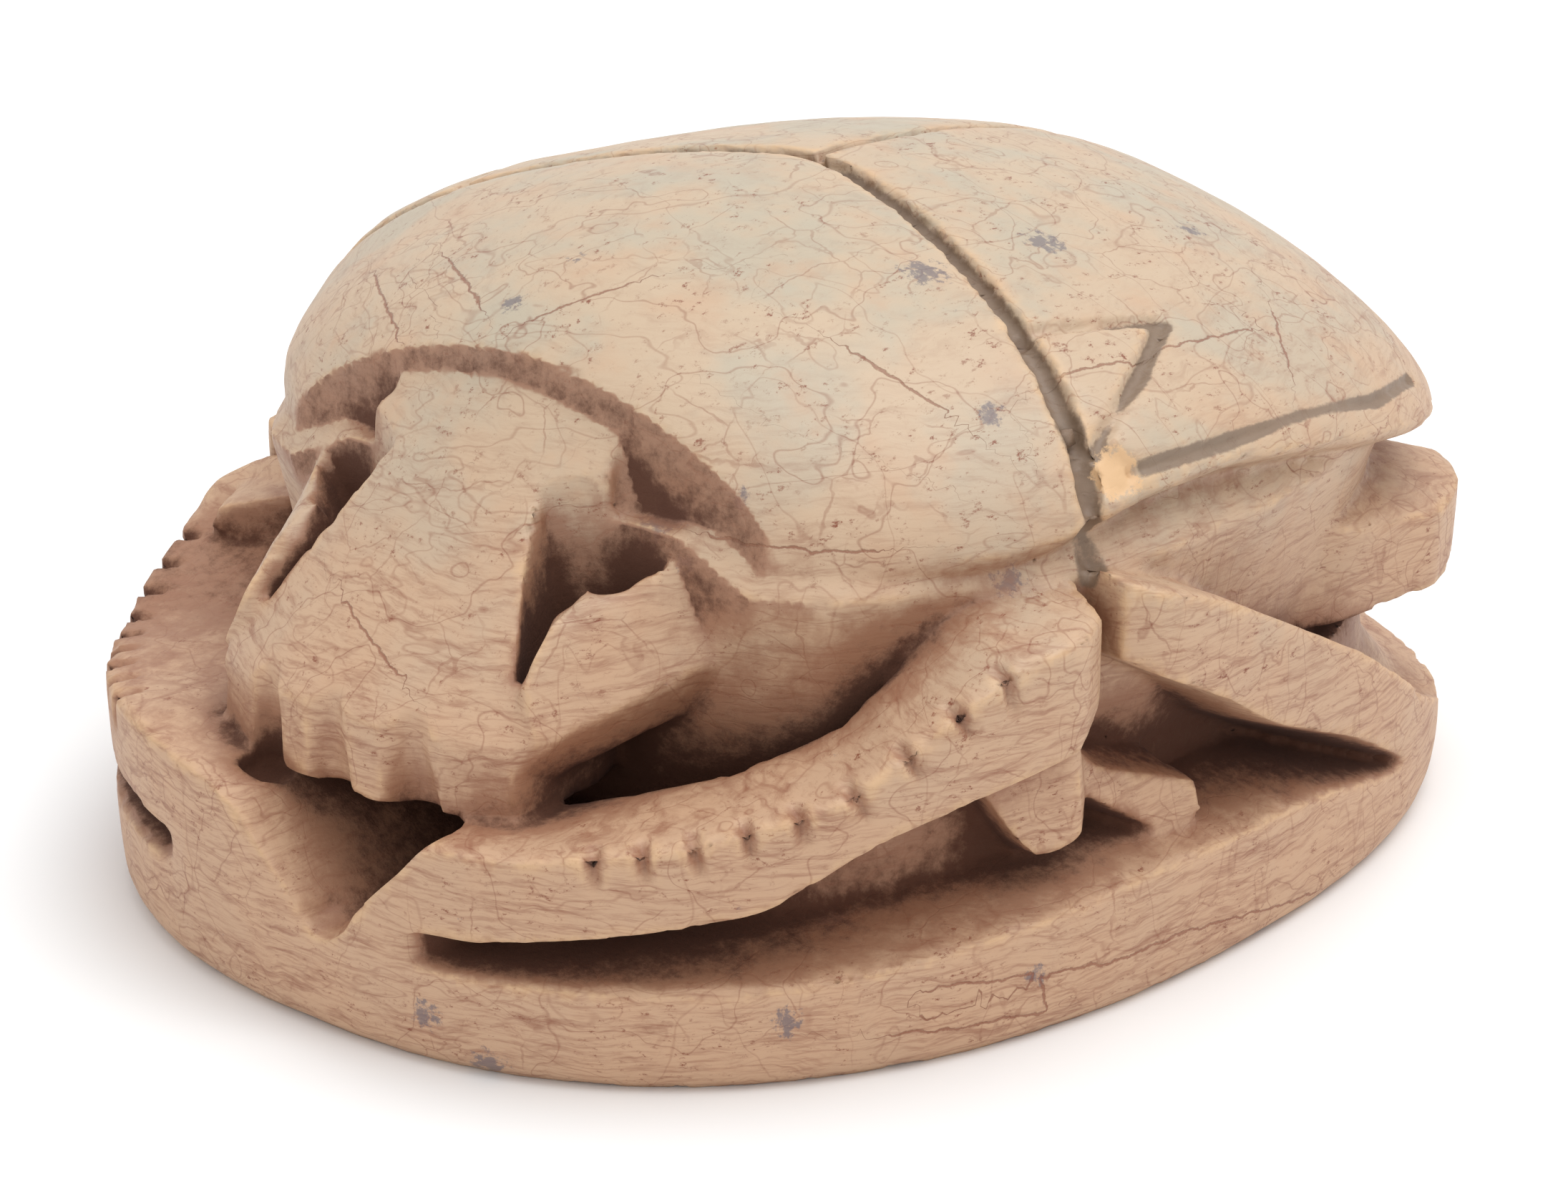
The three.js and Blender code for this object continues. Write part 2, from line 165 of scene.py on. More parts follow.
class StoneSettings(bpy.types.PropertyGroup):
    """Colours of the stone, what lies on it and the shade painted on it."""

    ivory: bpy.props.FloatVectorProperty(
        name="Ivory", description="Main tone of the polished stone", default=(0.53, 0.4, 0.275), subtype="COLOR"
    )
    grey: bpy.props.FloatVectorProperty(
        name="Grey", description="Cool patches in the polished stone", default=(0.46, 0.395, 0.295), subtype="COLOR"
    )
    # Tan is also the warmer tone mixed in low down, which partly stands for painted shade on the lower faces.
    tan: bpy.props.FloatVectorProperty(
        name="Tan", description="Warm tone of the sides and legs", default=(0.53, 0.32, 0.195), subtype="COLOR"
    )
    vein: bpy.props.FloatVectorProperty(
        name="Vein", description="Fine red-brown lines and speckle", default=(0.21, 0.055, 0.022), subtype="COLOR"
    )
    # This dark colour is partly the earth left in the hollows and partly painted shade there.
    deposit_and_shade: bpy.props.FloatVectorProperty(
        name="Deposit", description="Dark earth left in the hollows", default=(0.075, 0.024, 0.012), subtype="COLOR"
    )
    # This brown is partly stain round the hollows and partly painted shade there.
    rust_and_shade: bpy.props.FloatVectorProperty(
        name="Rust", description="Brown stain round the hollows", default=(0.3, 0.135, 0.075), subtype="COLOR"
    )
    amber: bpy.props.FloatVectorProperty(
        name="Amber", description="Worn and chipped edges", default=(0.68, 0.44, 0.24), subtype="COLOR"
    )
    slate: bpy.props.FloatVectorProperty(
        name="Slate", description="Small blue-grey spots", default=(0.12, 0.1, 0.12), subtype="COLOR"
    )
    umber: bpy.props.FloatVectorProperty(
        name="Umber", description="Grey-brown fill of the carved lines", default=(0.2, 0.135, 0.09), subtype="COLOR"
    )


class StageSettings(bpy.types.PropertyGroup):
    """Floor and lights."""

    floor: bpy.props.FloatVectorProperty(
        name="Floor", description="Colour of the floor", default=(0.9, 0.9, 0.9), subtype="COLOR"
    )
    sky: bpy.props.FloatProperty(
        name="Sky", description="Strength of the even light from all round", default=0.92, min=0
    )
    key: bpy.props.FloatProperty(
        name="Key light", description="Power of the large soft lamp above", default=1.3, min=0, unit="POWER"
    )


# ---------------------------------------------------------------- mesh helpers


def only(piece):
    """Selects this object alone and makes it active."""
    bpy.ops.object.select_all(action="DESELECT")
    piece.select_set(True)
    bpy.context.view_layer.objects.active = piece


def apply_modifier(piece, kind, **settings):
    """Adds a modifier with these settings and applies it."""
    only(piece)
    modifier = piece.modifiers.new(kind.title(), kind)
    for name, value in settings.items():
        setattr(modifier, name, value)
    bpy.ops.object.modifier_apply(modifier=modifier.name)


def merged_copy(node, name):
    """A new object with the node's surface as one closed mesh."""
    piece = bpy.data.objects.new(name, node.data.copy())
    piece.data.name = name
    bpy.context.scene.collection.objects.link(piece)
    only(piece)
    bpy.ops.object.mode_set(mode="EDIT")
    bpy.ops.mesh.select_all(action="SELECT")
    bpy.ops.mesh.remove_doubles(threshold=0.001 * MM)
    bpy.ops.object.mode_set(mode="OBJECT")
    return piece


def points_of(mesh):
    """The mesh's points as an array, in metres."""
    flat = np.empty(len(mesh.vertices) * 3)
    mesh.vertices.foreach_get("co", flat)
    return flat.reshape(-1, 3)


def move_points(mesh, points):
    """Puts the mesh's points at these places."""
    mesh.vertices.foreach_set("co", np.ascontiguousarray(points, dtype=np.float32).ravel())
    mesh.update()


def triangles_of(mesh):
    """The corners of a mesh that is all triangles."""
    corners = np.empty(len(mesh.loops), dtype=np.int32)
    mesh.loops.foreach_get("vertex_index", corners)
    return corners.reshape(-1, 3)


def edges_of(mesh):
    """The two ends of each edge."""
    ends = np.empty(len(mesh.edges) * 2, dtype=np.int32)
    mesh.edges.foreach_get("vertices", ends)
    return ends.reshape(-1, 2)


def gathered(index, values, count):
    """Sums rows of values by index."""
    return np.stack([np.bincount(index, values[:, axis], count) for axis in range(values.shape[1])], axis=1)


def unit(vectors):
    """The same directions with length one."""
    length = np.linalg.norm(vectors, axis=1, keepdims=True)
    return vectors / np.maximum(length, 1e-12)


def face_vectors(points, faces):
    """Normals of the triangles, as long as twice their area."""
    first, second, third = (points[faces[:, corner]] for corner in range(3))
    return np.cross(second - first, third - first)


def point_normals(points, faces):
    """Normals at the points, weighted by area."""
    vectors = face_vectors(points, faces)
    return unit(sum(gathered(faces[:, corner], vectors, len(points)) for corner in range(3)))


def neighbour_pairs(faces):
    """Pairs of triangles that share an edge."""
    sides = np.sort(np.concatenate([faces[:, (0, 1)], faces[:, (1, 2)], faces[:, (2, 0)]]), axis=1)
    owner = np.tile(np.arange(len(faces)), 3)
    order = np.lexsort((sides[:, 1], sides[:, 0]))
    sides = sides[order]
    owner = owner[order]
    same = np.all(sides[1:] == sides[:-1], axis=1)
    return np.stack([owner[:-1][same], owner[1:][same]], axis=1)


def faired(points, faces, rounds, spread, crease, settle):
    """Smooths flat and curved areas and keeps the creases.

    The triangles' normals are spread over neighbours that turn less than crease, in radians,
    and the points are then settled onto them.
    """
    pairs = neighbour_pairs(faces)
    share = gathered(faces.ravel(), np.ones((faces.size, 1)), len(points))
    for _ in range(rounds):
        vectors = face_vectors(points, faces)
        area = np.linalg.norm(vectors, axis=1, keepdims=True)
        normal = unit(vectors)
        for _ in range(spread):
            gap = normal[pairs[:, 0]] - normal[pairs[:, 1]]
            like = np.exp(-np.sum(gap * gap, axis=1, keepdims=True) / (2 * crease * crease))
            total = normal * area
            total += gathered(pairs[:, 0], like * (normal * area)[pairs[:, 1]], len(faces))
            total += gathered(pairs[:, 1], like * (normal * area)[pairs[:, 0]], len(faces))
            normal = unit(total)
        for _ in range(settle):
            middle = points[faces].mean(axis=1)
            move = np.zeros_like(points)
            for corner in range(3):
                lift = np.sum(normal * (middle - points[faces[:, corner]]), axis=1, keepdims=True)
                move += gathered(faces[:, corner], normal * lift, len(points))
            points = points + move / np.maximum(share, 1)
    return points


def relaxed(values, ends, rounds):
    """Values averaged with their neighbours along the edges, this many times."""
    count = len(values)
    both = np.concatenate([ends, ends[:, ::-1]])
    share = np.bincount(both[:, 0], minlength=count)[:, None]
    for _ in range(rounds):
        mean = gathered(both[:, 0], values[both[:, 1]], count) / np.maximum(share, 1)
        values = (values + mean) / 2
    return values


def mottle(points, size, seed):
    """Smooth random values from -1 to 1 in lumps about size across; size may be one per axis."""
    lattice = np.random.default_rng(seed).uniform(-1, 1, (LATTICE,) * 3)
    place = points / np.asarray(size)
    cell = np.floor(place).astype(int)
    part = place - cell
    part = part * part * (3 - 2 * part)
    total = np.zeros(len(points))
    for corner in itertools.product((0, 1), repeat=3):
        step = np.array(corner)
        weight = np.prod(np.where(step, part, 1 - part), axis=1)
        x, y, z = ((cell + step) % LATTICE).T
        total += weight * lattice[x, y, z]
    return total


def ramp(values, low, high):
    """0 below low, 1 above high and a smooth rise between."""
    part = np.clip((values - low) / (high - low), 0, 1)
    return part * part * (3 - 2 * part)


def shade_from_sky(points, normals, faces):
    """How much of the open space before each point its own stone blocks, from 0 to 1."""
    tree = BVHTree.FromPolygons(points.tolist(), faces.tolist())
    step = np.arange(SKY_RAYS) + 0.5
    height = 1 - 2 * step / SKY_RAYS
    round_angle = math.pi * (1 + math.sqrt(5)) * step
    flat = np.sqrt(1 - height * height)
    rays = np.stack([flat * np.cos(round_angle), flat * np.sin(round_angle), height], axis=1)
    facing = normals @ rays.T
    blocked = np.zeros(len(points))
    total = np.zeros(len(points))
    starts = [Vector(place) for place in points + normals * 0.02 * MM]
    for number, ray in enumerate(rays):
        way = Vector(ray)
        for index in np.nonzero(facing[:, number] > 0.15)[0]:
            weight = facing[index, number]
            total[index] += weight
            reach = tree.ray_cast(starts[index], way, SKY_REACH)[3]
            if reach is not None:
                blocked[index] += weight * (1 - reach / SKY_REACH)
    return blocked / np.maximum(total, 1e-6)


def store(mesh, name, values):
    """Keeps one number per point on the mesh, for the material to read."""
    layer = mesh.attributes.new(name, "FLOAT", "POINT")
    layer.data.foreach_set("value", np.ascontiguousarray(values, dtype=np.float32))


# ---------------------------------------------------------------- shader helpers


class Field:
    """One output in a shader tree. Sums, differences and products add Math nodes."""

    def __init__(self, shader, socket):
        self.shader = shader
        self.socket = socket

    def math(self, operation, first, second, clamp=False):
        return self.shader.node(
            "ShaderNodeMath", {"operation": operation, "use_clamp": clamp}, {0: first, 1: second}
        )

    def __add__(self, other):
        return self.math("ADD", self, other)

    __radd__ = __add__

    def __sub__(self, other):
        return self.math("SUBTRACT", self, other)

    def __rsub__(self, other):
        return self.math("SUBTRACT", other, self)

    def __mul__(self, other):
        return self.math("MULTIPLY", self, other)

    __rmul__ = __mul__

    def clamped(self):
        return self.math("ADD", self, 0.0, clamp=True)

    def between(self, low, high):
        """0 at low, 1 at high and smooth between them."""
        return self.shader.node(
            "ShaderNodeMapRange",
            {"interpolation_type": "SMOOTHSTEP"},
            {"Value": self, "From Min": low, "From Max": high, "To Min": 0.0, "To Max": 1.0},
        )


class Shader:
    """A material's node tree, built one node at a time."""

    def __init__(self, name):
        self.material = bpy.data.materials.new(name)
        self.material.use_nodes = True
        self.tree = self.material.node_tree
        self.tree.nodes.clear()

    def node(self, kind, settings=None, sockets=None, out=0):
        """Adds a node, sets it up, fills or links its sockets and gives one of its outputs."""
        node = self.tree.nodes.new(kind)
        for key, value in (settings or {}).items():
            setattr(node, key, value)
        for key, value in (sockets or {}).items():
            if isinstance(value, Field):
                self.tree.links.new(value.socket, node.inputs[key])
            else:
                node.inputs[key].default_value = value
        return Field(self, node.outputs[out]) if node.outputs else None

    def mix(self, share, first, second, blend="MIX"):
        """Mixes two colours by a share from 0 to 1."""
        settings = {"data_type": "RGBA", "blend_type": blend, "clamp_factor": True}
        return self.node("ShaderNodeMix", settings, {0: share, 6: first, 7: second}, out=2)

    def scaled(self, place, factors):
        """A place with each axis multiplied by its own factor."""
        return self.node("ShaderNodeVectorMath", {"operation": "MULTIPLY"}, {0: place, 1: factors})

    def moved(self, place, shift):
        """A place with another added to it."""
        return self.node("ShaderNodeVectorMath", {"operation": "ADD"}, {0: place, 1: shift})

    def noise(self, place, scale, detail=3.0, rough=0.55, warp=0.0):
        """Soft noise from 0 to 1."""
        sockets = {"Vector": place, "Scale": scale, "Detail": detail, "Roughness": rough, "Distortion": warp}
        return self.node("ShaderNodeTexNoise", None, sockets)

    def warped(self, place, scale, amount):
        """A place shaken by noise, so that what is drawn there wanders."""
        shake = self.node("ShaderNodeTexNoise", None, {"Vector": place, "Scale": scale, "Detail": 3.0}, out=1)
        centred = self.node("ShaderNodeVectorMath", {"operation": "SUBTRACT"}, {0: shake, 1: (0.5, 0.5, 0.5)})
        return self.moved(place, self.scaled(centred, (amount, amount, amount)))

    def lines(self, place, scale, width):
        """Thin lines between random cells: 1 on a line and 0 off it."""
        sockets = {"Vector": place, "Scale": scale}
        gap = self.node("ShaderNodeTexVoronoi", {"feature": "DISTANCE_TO_EDGE"}, sockets)
        return 1 - gap.between(width * 0.3, width)

    def veins(self, place, scale, width):
        """Wandering hairlines: 1 on a line and 0 off it."""
        level = self.noise(place, scale, 3.5, 0.5) - 0.5
        off = level.math("ABSOLUTE", level, 0.0)
        return 1 - off.between(0.0, width)

    def kept(self, name):
        """A number that is stored on the mesh."""
        return self.node("ShaderNodeAttribute", {"attribute_name": name}, out=2)


# ---------------------------------------------------------------- the stone


def on_oval(degrees, scale, height):
    """A point on the plan oval grown or shrunk by scale, in mm; 0 degrees is the head and 90 the left flank."""
    across = math.sin(math.radians(degrees))
    along = -math.cos(math.radians(degrees))
    reach = scale * (abs(across) ** OVAL_POWER + abs(along) ** OVAL_POWER) ** (-1 / OVAL_POWER)
    reach *= 1 + WALL_FLARE * (height - FLARE_LEVEL)
    y = HALF_LENGTH * reach * along
    return Vector((HALF_WIDTH * reach * across * (1 + TAIL_SPREAD * y / HALF_LENGTH), y, height))


def off_path(points, path):
    """Distance of each point from a path of straight stretches, both in mm."""
    nearest = np.full(len(points), np.inf)
    for start, end in zip(path, path[1:]):
        start = np.array(start)
        run = np.array(end) - start
        share = np.clip((points - start) @ run / (run @ run), 0, 1)
        gap = points - start - share[:, None] * run
        nearest = np.minimum(nearest, np.einsum("ij,ij->i", gap, gap))
    return np.sqrt(nearest)


def dropped(tree, plan):
    """Plan places let down onto the stone from above, in mm."""
    path = []
    for x, y in plan:
        hit = tree.ray_cast(Vector((x, y, 40.0)) * MM, Vector((0, 0, -1)))[0]
        if hit is not None:
            path.append(hit / MM)
    return path


def pronotum_line(side):
    """Plan of the line behind the pronotum on one flank."""
    for step in range(LINE_STEPS + 1):
        x = PRONOTUM_LINE_REACH * (step / LINE_STEPS) ** 0.8
        share = x / PRONOTUM_LINE_REACH
        yield side * x, PRONOTUM_LINE_Y - PRONOTUM_LINE_SWEEP * share**1.3


def suture_line():
    """Plan of the line between the wing cases."""
    return [(0.0, PRONOTUM_LINE_Y + step) for step in range(21)]


def shoulder_mark(side):
    """Plan of the open triangle on one shoulder."""
    corners = [(12.9, -3.6), (14.5, 2.6), (16.2, -1.2), (17.2, -5.0)]
    return [(side * x, y) for x, y in corners]


def carved_lines(tree):
    """Each carved line of the back as (path, half width, depth), in mm."""
    lines = [(dropped(tree, suture_line()), 0.28, 0.25)]
    for side in (1, -1):
        lines.append((dropped(tree, pronotum_line(side)), 0.58, 0.36))
        lines.append((dropped(tree, shoulder_mark(side)), 0.42, 0.3))
        lines.append(([Vector((side * x, y, z)) for x, y, z in WING_EDGE_LINE], 0.34, 0.2))
    return lines


def ridge_teeth(side):
    """Nicks across the upper edge of a foreleg, as (place, direction of the edge), in mm."""
    heights = RIDGE_LEFT if side > 0 else RIDGE_RIGHT
    for degrees in range(31, 64, 4):
        start, end = (on_oval(turn, 1.0, np.interp(turn, *zip(*heights))) for turn in (degrees, degrees + 1))
        place, ahead = (np.array((side * point.x, point.y, point.z)) for point in (start, end))
        yield place, (ahead - place) / np.linalg.norm(ahead - place)


def side_of_cracks(points, normals, tree):
    """Signed distance of each point from the nearest crack, in mm; the sign changes across the crack."""
    best = np.full(len(points), 99.0)
    for crack in CRACKS:
        places = []
        for start, end in zip(crack, crack[1:]):
            for step in range(CRACK_STEPS):
                place = Vector(start).lerp(Vector(end), step / CRACK_STEPS)
                places.append(np.array(tree.find_nearest(place * MM)[0]) / MM)
        for start, end in zip(places, places[1:]):
            run = end - start
            share = np.clip((points - start) @ run / max(run @ run, 1e-9), 0, 1)
            gap = points - start - share[:, None] * run
            length = np.linalg.norm(gap, axis=1)
            side = np.sign(np.einsum("ij,ij->i", gap, np.cross(run, normals)))
            closer = length < np.abs(best)
            best[closer] = (side * length)[closer]
    return best


def relief(points, normals, faces, ends, settings):
    """How far each point moves along its normal for hand work and wear, in metres."""
    mm = points / MM
    tree = BVHTree.FromPolygons(points.tolist(), faces.tolist())
    near = np.sum((relaxed(points, ends, 8) - points) * normals, axis=1) / MM
    wide = np.sum((relaxed(points, ends, 50) - points) * normals, axis=1) / MM
    lift = settings.waviness * (0.7 * mottle(mm, 5.5, 11) + 0.3 * mottle(mm, 2.2, 12))
    lift += settings.roughness * ramp(wide, 0.03, 0.3) * (0.6 * mottle(mm, 0.8, 14) + 0.4 * mottle(mm, 0.45, 15))
    lift -= settings.wear * ramp(-near, 0.015, 0.08) * ramp(mottle(mm, 1.3, 16) + 0.6 * mottle(mm, 0.6, 17), 0.0, 0.8)
    ragged = 1 + 0.2 * mottle(mm, 0.5, 13)
    for path, half, depth in carved_lines(tree):
        lift -= MM * depth * ramp(1 - off_path(mm, path) / (half * ragged), 0, 0.7)
    for side in (1, -1):
        for place, edge in ridge_teeth(side):
            across = np.clip(1 - np.abs((mm - place) @ edge) / NICK_HALF_WIDTH, 0, 1)
            within = ramp(1 - np.linalg.norm(mm - place, axis=1) / NICK_REACH, 0, 0.5)
            lift -= MM * NICK_DEPTH * across * within
    gap = np.linalg.norm(mm - np.array(CHIP), axis=1) / (CHIP_REACH * ragged)
    lift -= 0.3 * MM * ramp(1 - gap, 0, 0.5)
    return lift


def block(place, cuts):
    """A closed block whose sides follow place(u, v, w), each from 0 to 1, given in mm."""
    bpy.ops.object.select_all(action="DESELECT")
    bpy.ops.mesh.primitive_cube_add(size=1, location=(0.5, 0.5, 0.5))
    piece = bpy.context.active_object
    bpy.ops.object.transform_apply(location=True)
    bpy.ops.object.mode_set(mode="EDIT")
    bpy.ops.mesh.subdivide(number_cuts=cuts)
    bpy.ops.object.mode_set(mode="OBJECT")
    corners = [place(u, v, w) * MM for u, v, w in points_of(piece.data)]
    move_points(piece.data, np.array(corners))
    bpy.ops.object.mode_set(mode="EDIT")
    bpy.ops.mesh.select_all(action="SELECT")
    bpy.ops.mesh.normals_make_consistent(inside=False)
    bpy.ops.object.mode_set(mode="OBJECT")
    return piece


def foot_web(side, last):
    """Stone left standing between a forefoot and the rim, from the gap in front back to last degrees."""

    def place(u, v, w):
        degrees = last * u
        outer = 1.0 - 0.17 * max(0.0, (u - 0.65) / 0.35) ** 2
        point = on_oval(degrees, 0.8 + (outer - 0.8) * v, 4.0)
        x = side * point.x
        arm = GAP_LEVEL + (x - GAP_PLACE) * (GAP_NEAR_SLOPE if x > GAP_PLACE else -GAP_FAR_SLOPE)
        top = min(5.6, arm)
        return Vector((x, point.y, 3.0 + (top - 3.0) * w))

    return block(place, 10)


def stone_material(look):
    """Pale veined stone with earth and painted shade in its hollows and amber along its worn edges."""
    shader = Shader("carved_stone")
    opaque = {name: (*getattr(look, name), 1.0) for name in
              ("ivory", "grey", "tan", "vein", "rust_and_shade", "deposit_and_shade", "amber", "slate", "umber")}
    place = shader.scaled(shader.node("ShaderNodeTexCoord", out=3), (1 / MM,) * 3)
    across, along, height = (shader.node("ShaderNodeSeparateXYZ", None, {0: place}, out=axis) for axis in range(3))
    hollow = shader.kept("hollow")
    edge = shader.kept("edge")
    shade_and_earth = shader.kept("shade_and_earth")

    colour = shader.mix(shader.noise(place, 0.22, 4.0).between(0.4, 0.62), opaque["ivory"], opaque["grey"])
    # Tan towards the bottom: partly the warmer, stained stone of the base and partly painted shade on the lower,
    # downturned faces.
    low = 1 - (height + 6.0 * shader.noise(place, 0.3, 3.0)).between(11.0, 26.5)
    colour = shader.mix(low * 0.85, colour, opaque["tan"])
    warm = shader.noise(shader.moved(place, (7.0, 3.0, 1.0)), 0.45, 4.0).between(0.48, 0.75)
    colour = shader.mix(warm * 0.45, colour, opaque["tan"])

    bedding = shader.scaled(shader.warped(place, 0.3, 1.8), (0.3, 0.2, 2.4))
    streak = shader.noise(bedding, 1.3, 6.0, 0.68).between(0.5, 0.72)
    colour = shader.mix(streak * (low * 0.42 + 0.16), colour, opaque["vein"])
    layers = shader.scaled(shader.warped(place, 0.25, 1.2), (0.55, 0.4, 7.0))
    fibre = shader.noise(layers, 1.0, 5.0, 0.7).between(0.45, 0.7)
    colour = shader.mix(fibre * (low * 0.4 + 0.06), colour, opaque["vein"])

    wander = shader.warped(place, 0.8, 0.9)
    craze = shader.lines(shader.scaled(wander, (0.42, 0.3, 0.42)), 1.0, 0.016)
    long_veins = shader.veins(place, 0.14, 0.004)
    flank_veins = shader.veins(shader.scaled(place, (0.3, 0.2, 1.0)), 0.34, 0.006)
    cross_veins = shader.veins(shader.scaled(shader.moved(place, (40.0, 9.0, 3.0)), (0.5, 1.0, 0.4)), 0.24, 0.006)
    patchy = shader.noise(place, 0.35, 2.0).between(0.42, 0.6)
    hairlines = (craze * patchy * 0.35 + long_veins * 0.4 + flank_veins * 0.3 + cross_veins * 0.25).clamped()
    colour = shader.mix(hairlines, colour, opaque["vein"])

    speckle = shader.noise(shader.scaled(place, (1.0, 0.6, 1.4)), 2.7, 5.0, 0.8).between(0.56, 0.68)
    flecked = shader.noise(place, 0.4, 3.0).between(0.4, 0.62)
    colour = shader.mix(speckle * (flecked * 0.7 + 0.3), colour, opaque["vein"])

    grit = shader.noise(place, 2.6, 5.0, 0.75)
    spot = shader.noise(shader.moved(place, (31.0, 7.0, 5.0)), 0.6, 6.0, 0.7).between(0.7, 0.74)
    named = (shader.kept("spot") + (grit - 0.5) * 2.6).between(0.25, 0.6)
    colour = shader.mix((spot + named).clamped() * 0.72, colour, opaque["slate"])
    aside = shader.kept("crack") + (shader.noise(place, 1.4, 4.0, 0.6) - 0.5) * 0.5
    crack = 1 - aside.math("ABSOLUTE", aside, 0.0).between(0.02, 0.075)
    colour = shader.mix(crack * 0.7, colour, opaque["vein"])

    worn = edge * shader.noise(place, 1.2, 4.0).between(0.3, 0.6)
    colour = shader.mix(worn * 0.6, colour, opaque["amber"])
    # Painted shade and earth together: stain and dark deposit grow where the stone blocks the sky, in hollows, and
    # towards the front, the far side and the bottom.
    front = 1 - along.between(-13.0, -6.0)
    beneath = 1 - height.between(8.0, 11.5)
    far = 1 - across.between(-19.0, -7.0)
    soil_and_shade_weight = (front + beneath).clamped() * 0.75 + 0.25
    shade_and_earth_cover = (shade_and_earth + hollow * 0.3 + front * far * beneath * 0.3) * soil_and_shade_weight
    stain_and_shade = (shade_and_earth_cover + (shader.noise(place, 0.9, 6.0, 0.7) - 0.5) * 0.5).between(0.03, 0.28)
    earth_and_shade = (shade_and_earth_cover + (shader.noise(place, 1.6, 6.0, 0.75) - 0.5) * 0.6).between(0.25, 0.55)
    colour = shader.mix(stain_and_shade * 0.8, colour, opaque["rust_and_shade"])
    colour = shader.mix(earth_and_shade * 0.9, colour, opaque["deposit_and_shade"])
    line = (shader.kept("line") + (grit - 0.5) * 0.6).between(-0.05, 0.25)
    colour = shader.mix(line * 0.9, colour, opaque["umber"])
    fresh = (shader.kept("chip") + (grit - 0.5) * 1.2).between(0.1, 0.3)
    colour = shader.mix(fresh, colour, opaque["amber"])

    bump_height = (
        shader.noise(place, 9.0, 4.0, 0.6) * 0.25
        - hairlines * 0.5
        - crack * 1.2
        - speckle * 0.15
        + earth_and_shade * shader.noise(place, 5.0, 5.0, 0.75) * 1.4
        - streak * low * 0.3
    )
    normal = shader.node(
        "ShaderNodeBump", None, {"Strength": 0.55, "Distance": 0.05 * MM, "Height": bump_height}
    )
    gloss = (0.4 + earth_and_shade * 0.4 + low * 0.1 + shader.noise(place, 2.0, 3.0) * 0.12).clamped()
    surface = shader.node(
        "ShaderNodeBsdfPrincipled",
        None,
        {"Base Color": colour, "Roughness": gloss, "Normal": normal, "IOR": 1.5},
    )
    shader.node("ShaderNodeOutputMaterial", None, {"Surface": surface})
    return shader.material


